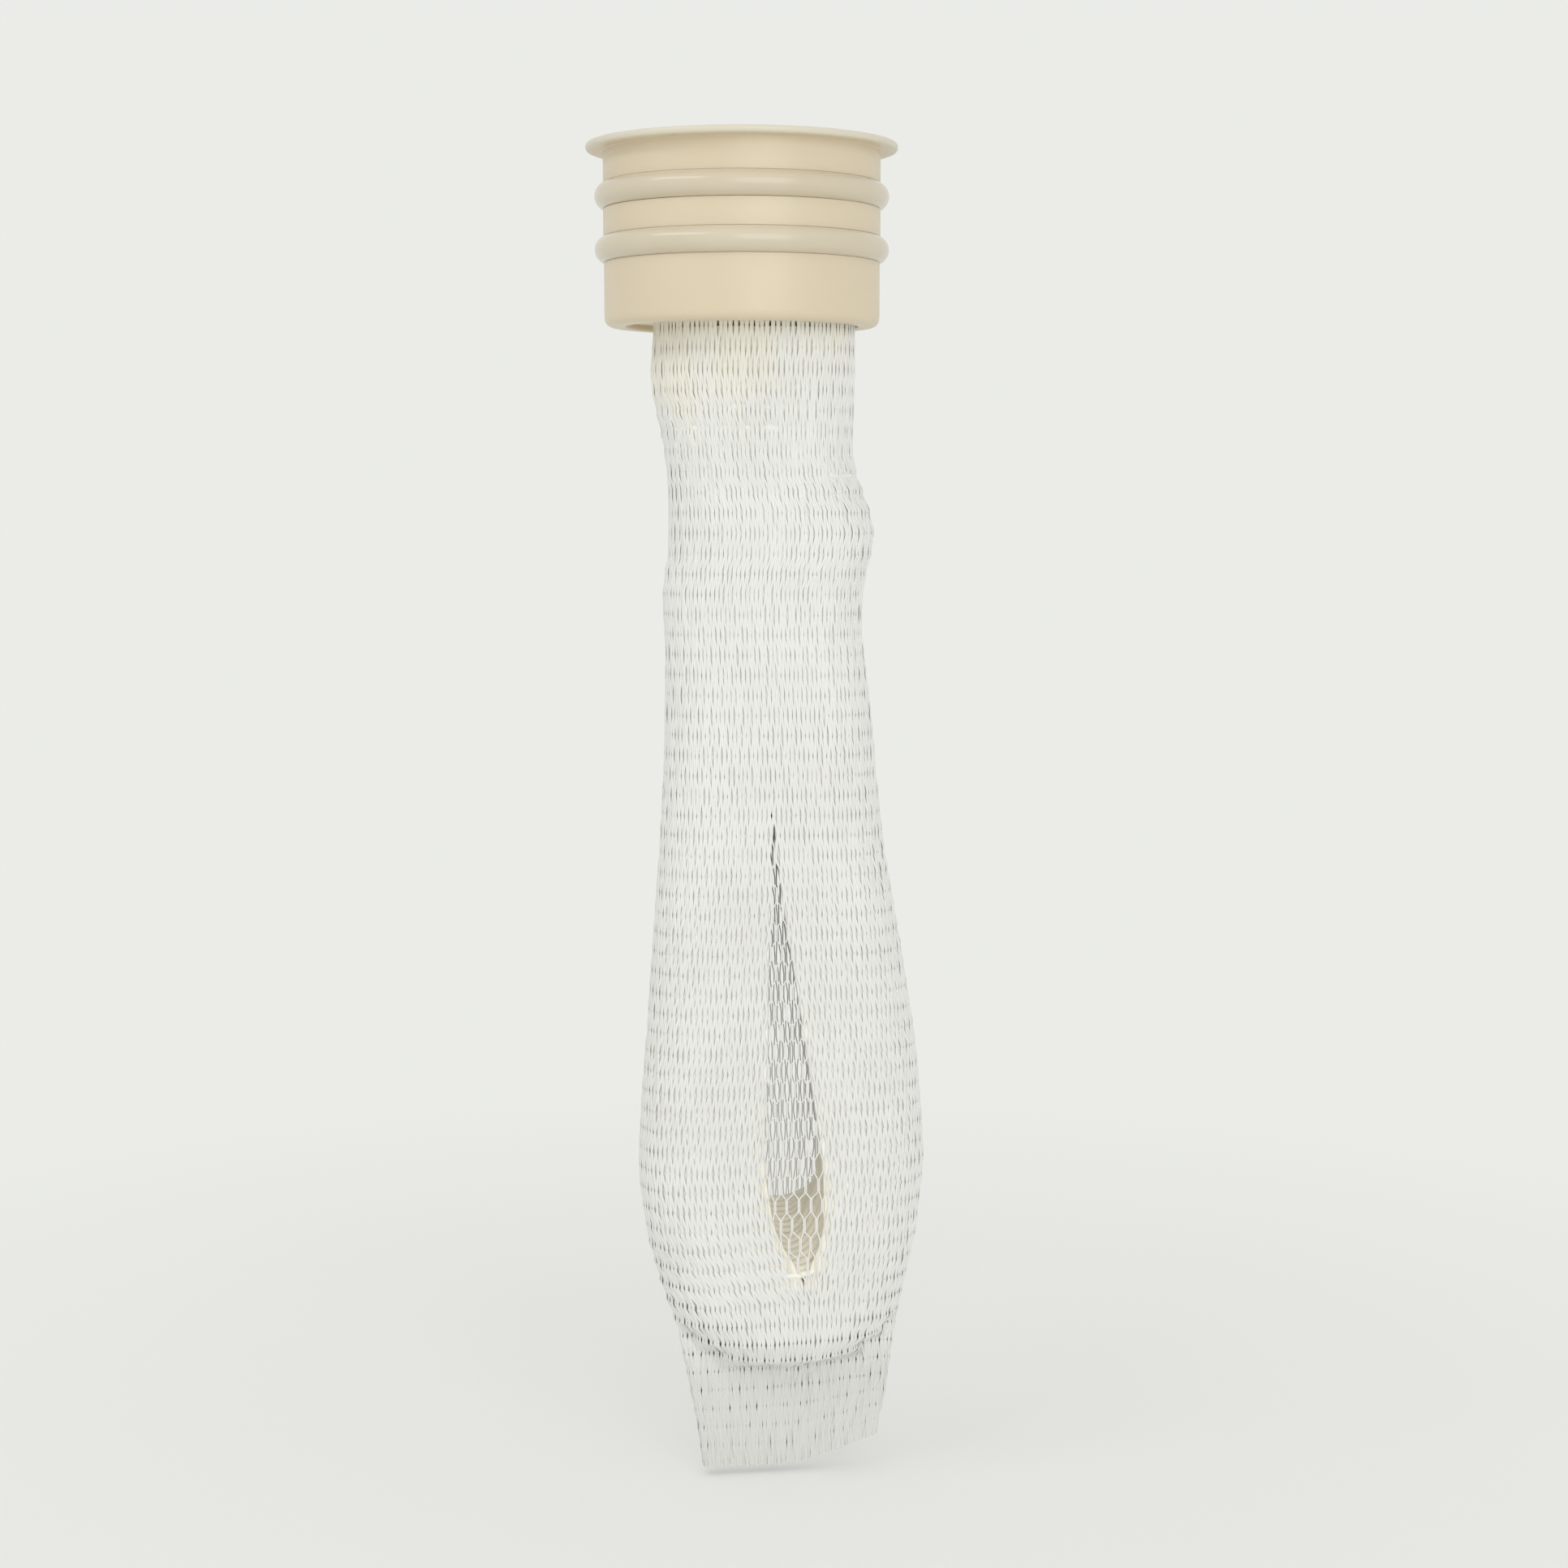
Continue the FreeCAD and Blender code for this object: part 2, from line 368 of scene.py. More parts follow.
def makeLight(name, at, size, power):
    data = bpy.data.lights.new(name, "AREA")
    data.shape = "RECTANGLE"
    data.size, data.size_y = size[0] * mm, size[1] * mm
    data.energy = power
    lamp = bpy.data.objects.new(name, data)
    away = [(a - b) * mm for a, b in zip(at, lights["aim"])]
    lamp.location = [a * mm for a in at]
    flat = math.hypot(away[0], away[1])
    lamp.rotation_euler = (math.atan2(flat, away[2]), 0, math.atan2(away[1], away[0]) + math.pi / 2)
    bpy.context.scene.collection.objects.link(lamp)


makeCamera()
makeFloor()
makeWorld()
makeLight("keyLamp", **lights["key"])
makeLight("frontLamp", **lights["front"])
bpy.context.scene.view_settings.view_transform = "Standard"
print("camera, floor and light made")


# keyDepth, keyH and keyZ are the grooves in the bore that hold the resin; lip to mouthEdge are roundings
head = dict(flangeR=27.0, flangeT=1.2, barrelR=24.0, landR=23.9, height=31.2,
            boreR=18.4, mouthR=20.2, mouthH=7.0, mouthSlope=1.2, keyDepth=1.2, keyH=1.6, keyZ=(-4.2, -13.55),
            ringZ=(-8.9, -18.0), grooveR=20.18, grooveW=4.4,
            lip=2.8, edge=0.58, corner=0.1, boreEdge=0.05, underFlange=0.35, mouthEdge=0.4,
            turns=288, sharp=35)


def roundedProfile(corners, steps=5, most=0.48):
    # corners are (radius, height, rounding); each is replaced by a small arc, which takes no more than
    # the share called most of either side
    points = []
    total = len(corners)
    for index, (r, z, rounding) in enumerate(corners):
        here = np.array((r, z))
        if rounding <= 0:
            points.append(here)
            continue
        before = np.array(corners[index - 1][:2]) - here
        after = np.array(corners[(index + 1) % total][:2]) - here
        rounding = min(rounding, most * np.linalg.norm(before), most * np.linalg.norm(after))
        start = here + before / np.linalg.norm(before) * rounding
        end = here + after / np.linalg.norm(after) * rounding
        for step in range(steps + 1):
            t = step / steps
            points.append((1 - t) ** 2 * start + 2 * t * (1 - t) * here + t * t * end)
    return points


def lathe(name, profile, turns):
    # a closed profile turned about Z, its faces pointing outwards
    verts = []
    for turn in range(turns):
        angle = 2 * math.pi * turn / turns
        verts += [(r * math.cos(angle) * mm, r * math.sin(angle) * mm, z * mm) for r, z in profile]
    count = len(profile)
    faces = []
    for turn in range(turns):
        here, there = turn * count, (turn + 1) % turns * count
        for k in range(count):
            after = (k + 1) % count
            faces.append((here + k, here + after, there + after, there + k))
    obj = meshObject(name, verts, [], faces)
    obj.data.shade_smooth()
    return obj


def headProfile():
    h = head
    c, under = h["corner"], -h["flangeT"]
    outline = [(h["boreR"], 0, h["boreEdge"]), (h["flangeR"], 0, h["edge"]),
               (h["flangeR"], under, h["edge"]), (h["barrelR"], under, h["underFlange"])]
    for z in h["ringZ"]:
        top, bottom = z + h["grooveW"] / 2, z - h["grooveW"] / 2
        below = h["landR"] if z == h["ringZ"][1] else h["barrelR"]
        outline += [(h["barrelR"], top, c), (h["grooveR"], top, c),
                    (h["grooveR"], bottom, c), (below, bottom, c)]
    shoulder = -h["height"] + h["mouthH"]
    outline += [(h["landR"], -h["height"], h["lip"]), (h["mouthR"], -h["height"], h["mouthEdge"]),
                (h["mouthR"], shoulder - h["mouthSlope"], 0), (h["boreR"], shoulder, 0)]
    for z in h["keyZ"][::-1]:
        outline += [(h["boreR"], z - h["keyH"] / 2, 0), (h["boreR"] + h["keyDepth"], z, 0),
                    (h["boreR"], z + h["keyH"] / 2, 0)]
    return roundedProfile(outline)


def makeHead():
    shell = lathe("headShell", headProfile(), head["turns"])
    shell.data.materials.append(headPlastic)
    shell.data.set_sharp_from_angle(angle=math.radians(head["sharp"]))
    place(shell, "head_plastic", "head_shell")


makeHead()
print("head made")


# arcAngle is how far the round outside reaches up and down; foot rounds the corners at the groove's bottom
rings = dict(outR=25.5, arc=2.32, arcAngle=70, arcSteps=24, inR=20.2, half=2.13, foot=0.9, footSteps=6,
             around=240, wave=0.06, waveScale=22.0,
             places=(("upperRing", "upper_o_ring", -8.9, 3), ("lowerRing", "lower_o_ring", -18.0, 8)))


def ringSection():
    # a round outside, and sides pressed straight by the groove: (radius, height above the ring's middle)
    r = rings
    centre = r["outR"] - r["arc"]
    points = []
    for step in range(r["arcSteps"] + 1):
        angle = math.radians(-r["arcAngle"] + 2 * r["arcAngle"] * step / r["arcSteps"])
        points.append((centre + r["arc"] * math.cos(angle), r["arc"] * math.sin(angle)))
    for side in (1, -1):
        corner = []
        for step in range(r["footSteps"] + 1):
            angle = math.radians(90 * step / r["footSteps"])
            corner.append((r["inR"] + r["foot"] * (1 - math.sin(angle)),
                           side * (r["half"] - r["foot"] * (1 - math.cos(angle)))))
        points += corner if side == 1 else corner[::-1]
    return points


def ringTree():
    # a section swept round a circle, with the slight wave that soft rubber takes in its groove
    tree, given = startTree("ringTree", [
        ("Section", "Object"), ("Radius", "Float"), ("Height", "Float"), ("Around", "Int"), ("Wave", "Float"),
        ("Wave Scale", "Float"), ("Seed", "Int"), ("Material", "Material")])
    circle = addNode(tree, "GeometryNodeCurvePrimitiveCircle", [
        ("Resolution", given["Around"]), ("Radius", given["Radius"])])
    spot = addNode(tree, "GeometryNodeInputPosition").outputs[0]
    noise = addNode(tree, "ShaderNodeTexNoise", [
        ("Vector", spot), ("W", given["Seed"]), ("Scale", given["Wave Scale"]), ("Detail", 0.0),
    ], noise_dimensions="4D")
    lift = mathNode(tree, "MULTIPLY", mathNode(tree, "SUBTRACT", noise.outputs[0], 0.5), given["Wave"])
    offset = addNode(tree, "ShaderNodeCombineXYZ", [("Z", mathNode(tree, "ADD", lift, given["Height"]))])
    moved = addNode(tree, "GeometryNodeSetPosition", [
        ("Geometry", circle.outputs[0]), ("Offset", offset.outputs[0])])
    section = addNode(tree, "GeometryNodeObjectInfo", [("Object", given["Section"])],
                      transform_space="RELATIVE")
    profile = addNode(tree, "GeometryNodeMeshToCurve", [("Mesh", section.outputs["Geometry"])])
    body = addNode(tree, "GeometryNodeCurveToMesh", [
        ("Curve", moved.outputs[0]), ("Profile Curve", profile.outputs[0])])
    endTree(tree, body.outputs[0], given["Material"])
    return tree


def makeRings():
    tree = ringTree()
    points = ringSection()
    middle = rings["outR"] - rings["arc"]
    loop = [(k, (k + 1) % len(points)) for k in range(len(points))]
    section = meshObject("ringSection", [((x - middle) * mm, y * mm, 0) for x, y in points], loop, [])
    for name, node, z, seed in rings["places"]:
        ring = grow(meshObject(name, [], [], []), tree, {
            "Section": section, "Radius": middle * mm, "Height": z * mm, "Around": rings["around"],
            "Wave": rings["wave"] * 2 * mm, "Wave Scale": rings["waveScale"], "Seed": seed,
            "Material": ringSilicone})
        place(ring, "silicone", node)
    clearAway(section, bpy.data.meshes)


makeRings()
print("rings made")


# each hairpin's corners, from the head down: face, neck, waist, fork, hip and loop
fibres = dict(od=1.08, bore=0.66, pitch=1.36, rows=15, legR=8.42, endDepth=4.0, endSides=14, endClear=0.02,
              faceX=1.6, faceR=15.4, faceRim=0.6, faceGap=0.8, stagger=0.5,
              neckZ=-33.0, neckX=2.1, neckOut=0.98, neckDeep=0.94,
              waistZ=-58.0, waistX=3.1, waistLeg=7.95, waistSqueeze=0.84, waistDeep=0.88, waistTurn=0.0,
              forkZ=-120.0, forkX=5.0, forkLeg=9.4, forkTurn=6.0, hip=14.0, hipStep=0.1,
              loopX=7.6, loopTurn=12.0, loopZ=-195.2, loopR=12.9, loopLean=18.0, snug=0.93,
              innerZ=-198.4, innerPower=1.5, backRise=10.0,
              sides=10, full=1.4, spacing=2.0, wander=0.10, seed=11)


def turnedPoint(x, z, turn, u, v):
    turn = math.radians(turn)
    return (x + u * math.cos(turn) - v * math.sin(turn), u * math.sin(turn) + v * math.cos(turn), z)


def rowPlaces(row):
    # one row of fibres across a leg, on a triangular grid
    f = fibres
    v = (row - (f["rows"] - 1) / 2) * f["pitch"] * math.sqrt(3) / 2
    half = math.sqrt(f["legR"] ** 2 - v ** 2)
    shift = 0.5 * (row % 2)
    first, last = math.ceil(-half / f["pitch"] - shift), math.floor(half / f["pitch"] - shift)
    return v, [(k + shift) * f["pitch"] for k in range(first, last + 1)]


def facePlace(side, s, v, index):
    f = fibres
    deep = v * (f["faceR"] - f["faceRim"]) / f["legR"]
    chord = math.sqrt(f["faceR"] ** 2 - deep ** 2)
    share = (s / math.sqrt(f["legR"] ** 2 - v ** 2) + 1) / 2
    across = f["faceGap"] + (chord - f["faceGap"]) * share
    return f["faceX"] + side * across, deep + (f["stagger"] if index % 2 else -f["stagger"])


def squared(s, v):
    # where the two legs lie together, the inner half of each fills out from half round to half square
    if s >= 0:
        return s, v
    size = fibres["legR"]
    a, b = s / size, v / size
    length = a * a + b * b
    if abs(b) < 1e-6:
        return s, v
    root = math.sqrt(max(length * (length - 4 * a * a * b * b), 0))
    reach = math.sqrt(max(length - root, 0)) / math.sqrt(2)
    return -reach / abs(b) * size, math.copysign(reach / abs(a), b) * size


def halfRoute(side, s, v, index, chord):
    # the corners that one half of a hairpin goes by, from the cut face to the loop's bottom
    f = fibres
    x, y = facePlace(side, s, v, index)
    lean = math.radians(f["loopLean"])
    inner, deep = squared(s, v)
    r = f["loopR"] + (s * f["snug"] if s > 0 else s)
    # the innermost loops are shorter towards the back, so that the inside of the bend slopes up to the back
    slope = f["innerZ"] + f["backRise"] * (v / f["legR"] + 1) / 2
    rise = max(-s / chord, 0) ** f["innerPower"] * (slope - (f["loopZ"] - f["loopR"] + chord))
    loopZ = f["loopZ"] + rise
    hipZ = loopZ - f["loopR"] * math.sin(lean) + f["hip"] * math.cos(lean) - s * f["hipStep"]
    hipU = r * math.cos(lean) + (hipZ - loopZ + r * math.sin(lean)) * math.tan(lean)
    toeU = r * math.tan(math.radians(45) - lean / 2)
    return [
        (x, y, -f["endDepth"]),
        (f["neckX"] + (x - f["neckX"]) * f["neckOut"], y * f["neckDeep"], f["neckZ"]),
        turnedPoint(f["waistX"], f["waistZ"], f["waistTurn"],
                    side * (f["waistLeg"] + inner * f["waistSqueeze"]), deep * f["waistDeep"]),
        turnedPoint(f["forkX"], f["forkZ"], f["forkTurn"], side * (f["forkLeg"] + inner), deep),
        turnedPoint(f["loopX"], hipZ, f["loopTurn"], side * hipU, v * f["snug"]),
        turnedPoint(f["loopX"], loopZ - r, f["loopTurn"], side * toeU, v * f["snug"]),
    ]


def pathCurves(name, routes):
    data = bpy.data.curves.new(name, "CURVE")
    data.dimensions = "3D"
    data.resolution_u = 10
    for route in routes:
        spline = data.splines.new("NURBS")
        spline.points.add(len(route) - 1)
        for point, (x, y, z) in zip(spline.points, route):
            point.co = (x * mm, y * mm, z * mm, 1)
        spline.order_u = 3
        spline.use_endpoint_u = True
    obj = bpy.data.objects.new(name, data)
    bpy.context.scene.collection.objects.link(obj)
    return obj


def fibreTree():
    # a tube along each path, wandering a little as loose fibres do
    tree, given = startTree("fibreTree", [
        ("Paths", "Object"), ("Radius", "Float"), ("Sides", "Int"), ("Spacing", "Float"), ("Wander", "Float"),
        ("Wander Scale", "Vector"), ("Seed", "Int"), ("Material", "Material")])
    paths = addNode(tree, "GeometryNodeObjectInfo", [("Object", given["Paths"])],
                    transform_space="RELATIVE")
    points = addNode(tree, "GeometryNodeResampleCurve", [
        ("Curve", paths.outputs["Geometry"]), ("Length", given["Spacing"])], mode="LENGTH")
    spot = addNode(tree, "GeometryNodeInputPosition").outputs[0]
    stretched = vectorNode(tree, "MULTIPLY", spot, given["Wander Scale"])
    noise = addNode(tree, "ShaderNodeTexNoise", [
        ("Vector", stretched), ("W", given["Seed"]), ("Scale", 1.0), ("Detail", 1.0),
    ], noise_dimensions="4D")
    swing = vectorNode(tree, "SUBTRACT", noise.outputs["Color"], (0.5, 0.5, 0.5))
    # still at both ends, where the resin holds them
    along = addNode(tree, "GeometryNodeSplineParameter").outputs["Factor"]
    free = mathNode(tree, "SINE", mathNode(tree, "MULTIPLY", along, math.pi))
    offset = vectorNode(tree, "SCALE", swing, scale=mathNode(tree, "MULTIPLY", free, given["Wander"]))
    moved = addNode(tree, "GeometryNodeSetPosition", [("Geometry", points.outputs[0]), ("Offset", offset)])
    profile = addNode(tree, "GeometryNodeCurvePrimitiveCircle", [
        ("Resolution", given["Sides"]), ("Radius", given["Radius"])])
    body = addNode(tree, "GeometryNodeCurveToMesh", [
        ("Curve", moved.outputs[0]), ("Profile Curve", profile.outputs[0]), ("Fill Caps", True)])
    endTree(tree, body.outputs[0], given["Material"])
    return tree


tubes = fibreTree()
# how quickly the wander changes for each metre: across the bundle both ways, and along it
wanderScale = (70.0, 70.0, 16.0)


def tubesAlong(name, routes, width, look, seed):
    paths = pathCurves(name + "Paths", routes)
    piece = grow(meshObject(name, [], [], []), tubes, {
        "Paths": paths, "Radius": width / 2 * mm, "Sides": look["sides"], "Spacing": look["spacing"] * mm,
        "Wander": look["wander"] * 2 * mm, "Wander Scale": wanderScale, "Seed": seed, "Material": fibreWhite})
    clearAway(paths, bpy.data.curves)
    return piece


def makeFibres():
    feet = []
    for row in range(fibres["rows"]):
        v, places = rowPlaces(row)
        chord = -places[0]
        routes = []
        for index, s in enumerate(places):
            routes.append(halfRoute(-1, s, v, index, chord) + halfRoute(1, s, v, index, chord)[::-1])
            feet += [facePlace(side, s, v, index) for side in (-1, 1)]
        layer = tubesAlong("fibreRow%02d" % (row + 1), routes, fibres["full"], fibres, fibres["seed"] + row)
        place(layer, "fibre", "fibre_row_%02d" % (row + 1))
    return feet


def fibreEndTree():
    # a short open tube on each point of the host mesh
    tree, given = startTree("fibreEndTree", [
        ("Outer", "Float"), ("Inner", "Float"), ("Depth", "Float"), ("Sides", "Int"),
        ("Material", "Material")])
    middle = mathNode(tree, "MULTIPLY", mathNode(tree, "ADD", given["Outer"], given["Inner"]), 0.5)
    wall = mathNode(tree, "SUBTRACT", given["Outer"], given["Inner"])
    path = addNode(tree, "GeometryNodeCurvePrimitiveCircle", [
        ("Resolution", given["Sides"]), ("Radius", middle)])
    section = addNode(tree, "GeometryNodeCurvePrimitiveQuadrilateral", [
        ("Width", wall), ("Height", given["Depth"])])
    tube = addNode(tree, "GeometryNodeCurveToMesh", [
        ("Curve", path.outputs[0]), ("Profile Curve", section.outputs[0])])
    spots = addNode(tree, "GeometryNodeMeshToPoints", [("Mesh", given["Geometry"])])
    ends = addNode(tree, "GeometryNodeInstanceOnPoints", [
        ("Points", spots.outputs[0]), ("Instance", tube.outputs[0])])
    endTree(tree, ends.outputs[0], given["Material"], smooth=False)
    return tree


def makeFibreEnds(feet):
    f = fibres
    host = meshObject("fibreEnds", [(x * mm, y * mm, (-f["endDepth"] / 2) * mm) for x, y in feet], [], [])
    ends = grow(host, fibreEndTree(), {
        "Outer": f["od"] / 2 * mm, "Inner": f["bore"] / 2 * mm, "Depth": (f["endDepth"] - f["endClear"]) * mm,
        "Sides": f["endSides"], "Material": fibreWhite})
    place(ends, "fibre")


feet = makeFibres()
makeFibreEnds(feet)
print("fibres made:", len(feet), "ends")


# every table is read by height: pairs of (height, value), from the neck down
net = dict(
    threads=240, rows=60, perRow=3, topZ=-26.5, endZ=-236.4, around=720, smooth=1.2,
    yarn=0.26, flat=0.34, sides=6, loose=0.22, seed=5, pieces=4,
    # half the share of a row that two threads run side by side: in plain cells, and in cells pulled wide
    closed=0.15, open=0.36,
    # cells narrower than the first of touching are closed, wider than the second are open
    touching=(0.5, 0.68),
    # how full the closed yarn is as it goes over to the next thread, against the width of a cell
    overlap=((-26, 1.3), (-208, 1.3), (-216, 1.75), (-237, 1.75)),
    # how full the closed yarn is beside its partner
    slack=((-26, 1.75), (-52, 1.6), (-66, 1.35), (-205, 1.3), (-214, 1.4), (-237, 1.5)),
    # the sleeve's left and right sides, half its depth, and its turn about Z in degrees
    left=((-26, -15.3), (-31.8, -15.35), (-36, -15.8), (-39, -16.05), (-41.8, -15.8), (-44.6, -15.2),
          (-50.3, -13.9), (-55.9, -13.25), (-60, -12.95), (-66, -13.0), (-71.5, -13.25), (-75.7, -14.05),
          (-80, -14.05), (-87, -13.55), (-100, -13.8), (-113, -14.2), (-121.8, -14.8), (-130.6, -15.4),
          (-142, -16.3), (-151, -16.9), (-160, -17.6), (-166, -18.1), (-175, -18.55), (-181, -18.6),
          (-187, -18.0), (-193, -16.9), (-199, -15.3), (-205, -13.3), (-211, -11.5), (-217, -10.4),
          (-220, -9.8), (-226, -8.65), (-231, -8.0), (-236.5, -7.2)),
    right=((-26, 19.6), (-40, 19.7), (-50, 19.35), (-54, 19.3), (-58, 20.5), (-61.6, 21.9), (-64.4, 22.8),
           (-67.2, 23.2), (-70, 22.7), (-73, 21.85), (-78.6, 21.1), (-84, 21.0), (-93, 22.1), (-100, 22.9),
           (-107, 23.5), (-119, 24.7), (-125, 25.6), (-131, 26.7), (-142, 28.5), (-154, 30.4),
           (-160, 31.3), (-172, 32.25), (-178, 32.6), (-184, 32.3), (-193, 31.2), (-199, 29.8),
           (-205, 28.6), (-211, 27.6), (-217, 26.8), (-226, 25.5), (-231, 24.6), (-236.5, 24.2)),
    depth=((-26, 17.0), (-31, 16.7), (-40, 14.4), (-50, 11.6), (-58, 10.4), (-67, 9.95), (-79, 9.7),
           (-100, 9.55), (-125, 9.42), (-237, 9.42)),
    # the loop's bend: its middle, its inner edge, and from there down how the sleeve's depth falls to the tail
    bend=dict(z=-195.6, squash=0.92, radius=13.0, thick=8.9, depth=9.6, tail=1.2),
    turn=((-26, 0), (-56, 0), (-67, 1), (-100, 4), (-150, 9.5), (-184, 12), (-214, 12), (-227, 10),
          (-236.5, 8)),
    # how far the net dips between the two legs, in front and behind
    valley=((-26, 0.0), (-45, 0.3), (-70, 0.5), (-110, 0.8), (-140, 1.3), (-180, 1.6), (-200, 0.9),
            (-210, 0), (-237, 0)),
    valleyWidth=0.95,
    # how much wider its cells are pulled in front of the gap, and where that is
    spread=((-26, 0), (-112, 0), (-122, 0.8), (-134, 1.3), (-188, 1.35), (-196, 0.9), (-202, 0),
            (-237, 0)),
    gapU=((-26, -0.6), (-114, -0.6), (-142, -0.5), (-157, -0.25), (-171, 0.2), (-178, 0.5), (-190, 1.4),
          (-198, 2.0), (-237, 2)),
    gapHalf=((-26, 0.4), (-116, 0.4), (-128, 0.9), (-135, 1.4), (-142, 2.2), (-157, 3.4), (-171, 4.8),
             (-178, 5.4), (-190, 4.6), (-198, 3.0), (-237, 2)),
    # the yarn is this thin behind the gap
    sheer=0.9, sheerWidth=1.5,
    # the cut edge rises to the right of cutFrom, and what is below cutZ rises with it
    cutFrom=9.0, cutSpan=15, cutPower=1.2, cutRise=5.0, cutZ=-205, cutDeep=31,
)


def along(table, z):
    # a smoothed reading of a table of (height, value)
    heights = np.array([row[0] for row in table][::-1], float)
    values = np.array([row[1] for row in table][::-1], float)
    taps = np.linspace(-2 * net["smooth"], 2 * net["smooth"], 9)
    weights = np.exp(-0.5 * (taps / net["smooth"]) ** 2)
    return sum(w * np.interp(z + t, heights, values) for t, w in zip(taps, weights)) / weights.sum()


def bendReach(u, z):
    # how far outside the bend's inner edge a point of the section is, seen from the front
    bend = net["bend"]
    return np.hypot(u * bend["squash"], z - bend["z"]) - bend["radius"]


def sleeveLoop(z):
    # one closed cross-section, counted from the right side over the back. Its points are x and y; u and v are
    # the same, across and through the sleeve; full is v before the bend draws it in; wide is how far the
    # cells are pulled, and sheer how far the yarn is thinned
    left, right = along(net["left"], z) + net["yarn"] / 2, along(net["right"], z) - net["yarn"] / 2
    depth, angle = along(net["depth"], z) - net["yarn"] / 2, math.radians(along(net["turn"], z))
    flat = max(((right - left) / 2 - depth) / math.cos(angle), 0.01)
    girth = 4 * flat + 2 * math.pi * depth
    s = np.linspace(0, girth, net["around"], endpoint=False) + math.pi * depth / 2
    s %= girth
    other = s >= girth / 2
    s = np.where(other, s - girth / 2, s)
    swing = np.minimum(s / depth, math.pi) - math.pi / 2
    onRound = s < math.pi * depth
    u = np.where(onRound, flat + depth * np.cos(swing), flat - (s - math.pi * depth))
    v = np.where(onRound, depth * np.sin(swing), depth)
    u, v = np.where(other, -u, u), np.where(other, -v, v)
    front, back = np.clip(-v / depth, 0, 1), np.clip(v / depth, 0, 1)
    # the dip between the legs
    dip = along(net["valley"], z) * np.cos(np.clip(u / (net["valleyWidth"] * flat), -1, 1) * math.pi / 2) ** 2
    v = v + dip * (front - back)
    full = v
    # round the bottom of the bend the net falls in, and the two sides of the tail lie together
    bend = net["bend"]
    if z < bend["z"]:
        fall = np.sqrt(1 - np.clip(bendReach(u, z) / bend["thick"], 0, 1) ** 2)
        room = np.maximum(fall * bend["depth"], bend["tail"])
        v = np.clip(v, -room, room)
    gapU, gapHalf, spread = along(net["gapU"], z), along(net["gapHalf"], z), along(net["spread"], z)
    bump = np.exp(-np.abs((u - gapU) / gapHalf) ** 4)
    x = (left + right) / 2 + u * math.cos(angle) - v * math.sin(angle)
    y = u * math.sin(angle) + v * math.cos(angle)
    # behind the gap the knit is sheer
    behind = gapU + depth * math.tan(angle)
    sheer = back * min(spread, 1) * np.exp(-np.abs((u - behind) / gapHalf / net["sheerWidth"]) ** 6)
    wide = 1 + spread * bump * front ** 2
    return dict(points=np.stack([x, y], 1), u=u, v=v, full=full, wide=wide, sheer=sheer)


def closedUp(values):
    return np.concatenate([values, values[:1]])


def threadPoints():
    # where each thread would run if it kept to its own place, and how full it is: stations by threads
    perRow, threads = net["perRow"], net["threads"]
    rowHeight = (net["topZ"] - net["endZ"]) / net["rows"]
    grid = np.zeros((net["rows"] * perRow, threads, 3))
    bulk = np.ones((net["rows"] * perRow, threads))
    for row in range(net["rows"]):
        middle = net["topZ"] - (row + 0.5) * rowHeight
        loop = sleeveLoop(middle)
        closed, wide = closedUp(loop["points"]), closedUp(loop["wide"])
        length = np.linalg.norm(np.diff(closed, axis=0), axis=1) / loop["wide"]
        travelled = np.concatenate([[0], np.cumsum(length)])
        share = np.arange(threads) / threads * travelled[-1]
        x, y = np.interp(share, travelled, closed[:, 0]), np.interp(share, travelled, closed[:, 1])
        # threads run side by side for longer where the cells are pulled wide
        apart = np.interp(share, travelled, wide)
        reach = net["closed"] + (net["open"] - net["closed"]) * np.clip(apart - 1, 0, 1)
        rise = net["cutRise"] * np.clip((x - net["cutFrom"]) / net["cutSpan"], 0, 1) ** net["cutPower"]
        # where the cells are narrow the yarn spreads out, and closes the net there
        gap = travelled[-1] / threads * apart
        loosened = np.clip((gap - net["touching"][0]) / (net["touching"][1] - net["touching"][0]), 0, 1)
        slack = along(net["slack"], net["topZ"] - row * rowHeight)
        thin = np.interp(share, travelled, closedUp(loop["sheer"]))
        for step in range(perRow):
            z = middle + (1 - step) * reach * rowHeight
            low = np.clip((net["cutZ"] - z) / net["cutDeep"], 0, 1)
            crossing = loosened + (1 - loosened) * gap * along(net["overlap"], z.mean()) / net["yarn"]
            width = crossing if step != 1 else loosened + (1 - loosened) * slack
            grid[row * perRow + step] = np.stack([x, y, z + rise * low * low], 1)
            bulk[row * perRow + step] = width + (net["sheer"] - width) * thin
    return grid, bulk


def attribute(tree, name, kind):
    return addNode(tree, "GeometryNodeInputNamedAttribute", [("Name", name)], data_type=kind).outputs[0]


